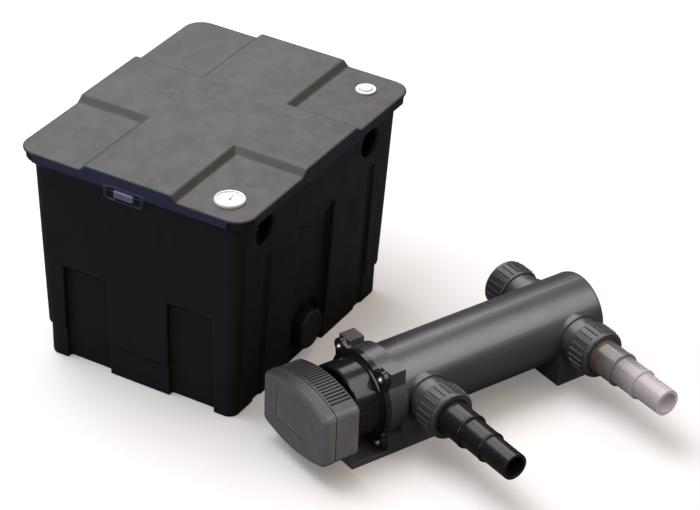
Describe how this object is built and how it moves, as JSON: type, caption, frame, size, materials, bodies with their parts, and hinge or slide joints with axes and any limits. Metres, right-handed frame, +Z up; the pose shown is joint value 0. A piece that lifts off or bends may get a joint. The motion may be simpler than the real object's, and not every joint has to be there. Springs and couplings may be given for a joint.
{
  "type": "pond filter with uv clarifier",
  "caption": "Box pond filter with lift-off lid, foam and ball media, thermometer, level indicator and drain cap, plus an in-line UV clarifier with stepped hose tails.",
  "frame": {"origin": "centre of the box filter's flat base, on the floor", "axes": "+Z up, +X towards the side with the hose ports and drain, -Y towards the front latch"},
  "size_m": [0.8512, 0.5002, 0.3385],
  "materials": {
    "tub_plastic": "moulded satin, fine grain",
    "lid_plastic": "fine leather grain, greyed",
    "latch_plastic": "polished",
    "stainless": "turned and pressed",
    "bezel_white": "smooth",
    "dial_white": "printed scale",
    "needle_black": "painted",
    "clear_lens": "polished",
    "float_white": "smooth",
    "black_plastic": "moulded",
    "seal_rubber": "matte",
    "foam_blue": "open-cell foam",
    "foam_green": "open-cell foam",
    "foam_yellow": "open-cell foam",
    "ball_plastic": "moulded",
    "gloss_black": "extruded and polished",
    "satin_black": "satin",
    "quartz": "clear",
    "lamp_glass": "clear",
    "head_plastic": "fine spark grain",
    "ballast_case": "sheet",
    "cable_rubber": "matte",
    "nut_black": "moulded, ribbed",
    "tail_black": "satin",
    "tail_clear": "cloudy translucent"
  },
  "bodies": {
    "root": {"filter_tub": "tub_plastic", "drain_spout": "black_plastic", "drain_gasket": "seal_rubber", "drain_locknut": "black_plastic", "partition_wall": "tub_plastic", "media_grid": "tub_plastic", "coarse_foam": "foam_blue", "medium_foam": "foam_green", "fine_foam": "foam_yellow", "bio_balls": "ball_plastic"},
    "lid": {"lid": "lid_plastic", "latch_pin_front": "stainless", "latch_pin_rear": "stainless", "thermometer_case": "bezel_white", "thermometer_dial": "dial_white", "thermometer_lens": "clear_lens", "thermometer_nut": "black_plastic", "level_gauge_body": "bezel_white", "level_gauge_nut": "black_plastic"},
    "needle": {"thermometer_needle": "needle_black"},
    "level_float": {"level_gauge_float": "float_white"},
    "latch_front": {"lid_latch_front": "latch_plastic"},
    "latch_rear": {"lid_latch_rear": "latch_plastic"},
    "drain_cap": {"drain_cap": "black_plastic", "drain_cap_seal": "seal_rubber"},
    "clarifier": {"uv_housing": "gloss_black", "uv_foot_front": "satin_black", "uv_foot_rear": "satin_black", "uv_flange_nuts": "stainless", "union_gasket_inlet": "seal_rubber", "union_gasket_outlet": "seal_rubber", "union_gasket_blank": "seal_rubber", "blanking_disc": "satin_black"},
    "uv_head": {"uv_flange_cap": "gloss_black", "uv_flange_oring": "seal_rubber", "uv_flange_screws": "stainless", "quartz_sleeve": "quartz", "quartz_oring": "seal_rubber", "quartz_gland_nut": "black_plastic", "uv_lamp": "lamp_glass", "lamp_socket": "dial_white", "ballast_housing": "head_plastic", "ballast_cover": "head_plastic", "electronic_ballast": "ballast_case", "cable_gland": "satin_black", "power_cable": "cable_rubber"},
    "nut_inlet": {"union_nut_inlet": "nut_black"},
    "nut_outlet": {"union_nut_outlet": "nut_black"},
    "nut_blank": {"union_nut_blank": "nut_black"},
    "tail_inlet": {"hose_tail_inlet": "tail_black"},
    "tail_outlet": {"hose_tail_outlet": "tail_clear"}
  },
  "joints": [
    {"name": "lid_lift", "type": "slide", "parent": "root", "child": "lid", "axis": [0, 0, 1], "range_m": [0, 0.35]},
    {"name": "needle_turn", "type": "hinge", "parent": "lid", "child": "needle", "pos_m": [0.13, -0.176, 0.332], "axis": [0, 0, 1], "range_deg": [-130, 130]},
    {"name": "level_rise", "type": "slide", "parent": "lid", "child": "level_float", "axis": [0, 0, 1], "range_m": [0, 0.012]},
    {"name": "latch_front_open", "type": "hinge", "parent": "lid", "child": "latch_front", "pos_m": [-0.005, -0.2195, 0.3148], "axis": [-1, 0, 0], "range_deg": [0, 75]},
    {"name": "latch_rear_open", "type": "hinge", "parent": "lid", "child": "latch_rear", "pos_m": [0.005, 0.2195, 0.3148], "axis": [1, 0, 0], "range_deg": [0, 75]},
    {"name": "drain_cap_turn", "type": "hinge", "parent": "root", "child": "drain_cap", "pos_m": [0.15, -0.008, 0.046], "axis": [1, 0, 0], "continuous": true},
    {"name": "clarifier_place", "type": "slide", "parent": "root", "child": "clarifier", "axis": [1, 0, 0], "range_m": [0, 0.25]},
    {"name": "uv_head_withdraw", "type": "slide", "parent": "clarifier", "child": "uv_head", "axis": [-0.4019, -0.9157, 0], "range_m": [0, 0.3]},
    {"name": "nut_inlet_turn", "type": "hinge", "parent": "clarifier", "child": "nut_inlet", "pos_m": [0.42254, -0.10726, 0.072], "axis": [0.9157, -0.4019, 0], "continuous": true},
    {"name": "nut_outlet_turn", "type": "hinge", "parent": "clarifier", "child": "nut_outlet", "pos_m": [0.52624, 0.12898, 0.072], "axis": [0.9157, -0.4019, 0], "continuous": true},
    {"name": "nut_blank_turn", "type": "hinge", "parent": "clarifier", "child": "nut_blank", "pos_m": [0.36142, 0.20133, 0.072], "axis": [-0.9157, 0.4019, 0], "continuous": true},
    {"name": "tail_inlet_swivel", "type": "hinge", "parent": "clarifier", "child": "tail_inlet", "pos_m": [0.43078, -0.11088, 0.072], "axis": [0.9157, -0.4019, 0], "continuous": true},
    {"name": "tail_outlet_swivel", "type": "hinge", "parent": "clarifier", "child": "tail_outlet", "pos_m": [0.53448, 0.12537, 0.072], "axis": [0.9157, -0.4019, 0], "continuous": true}
  ]
}
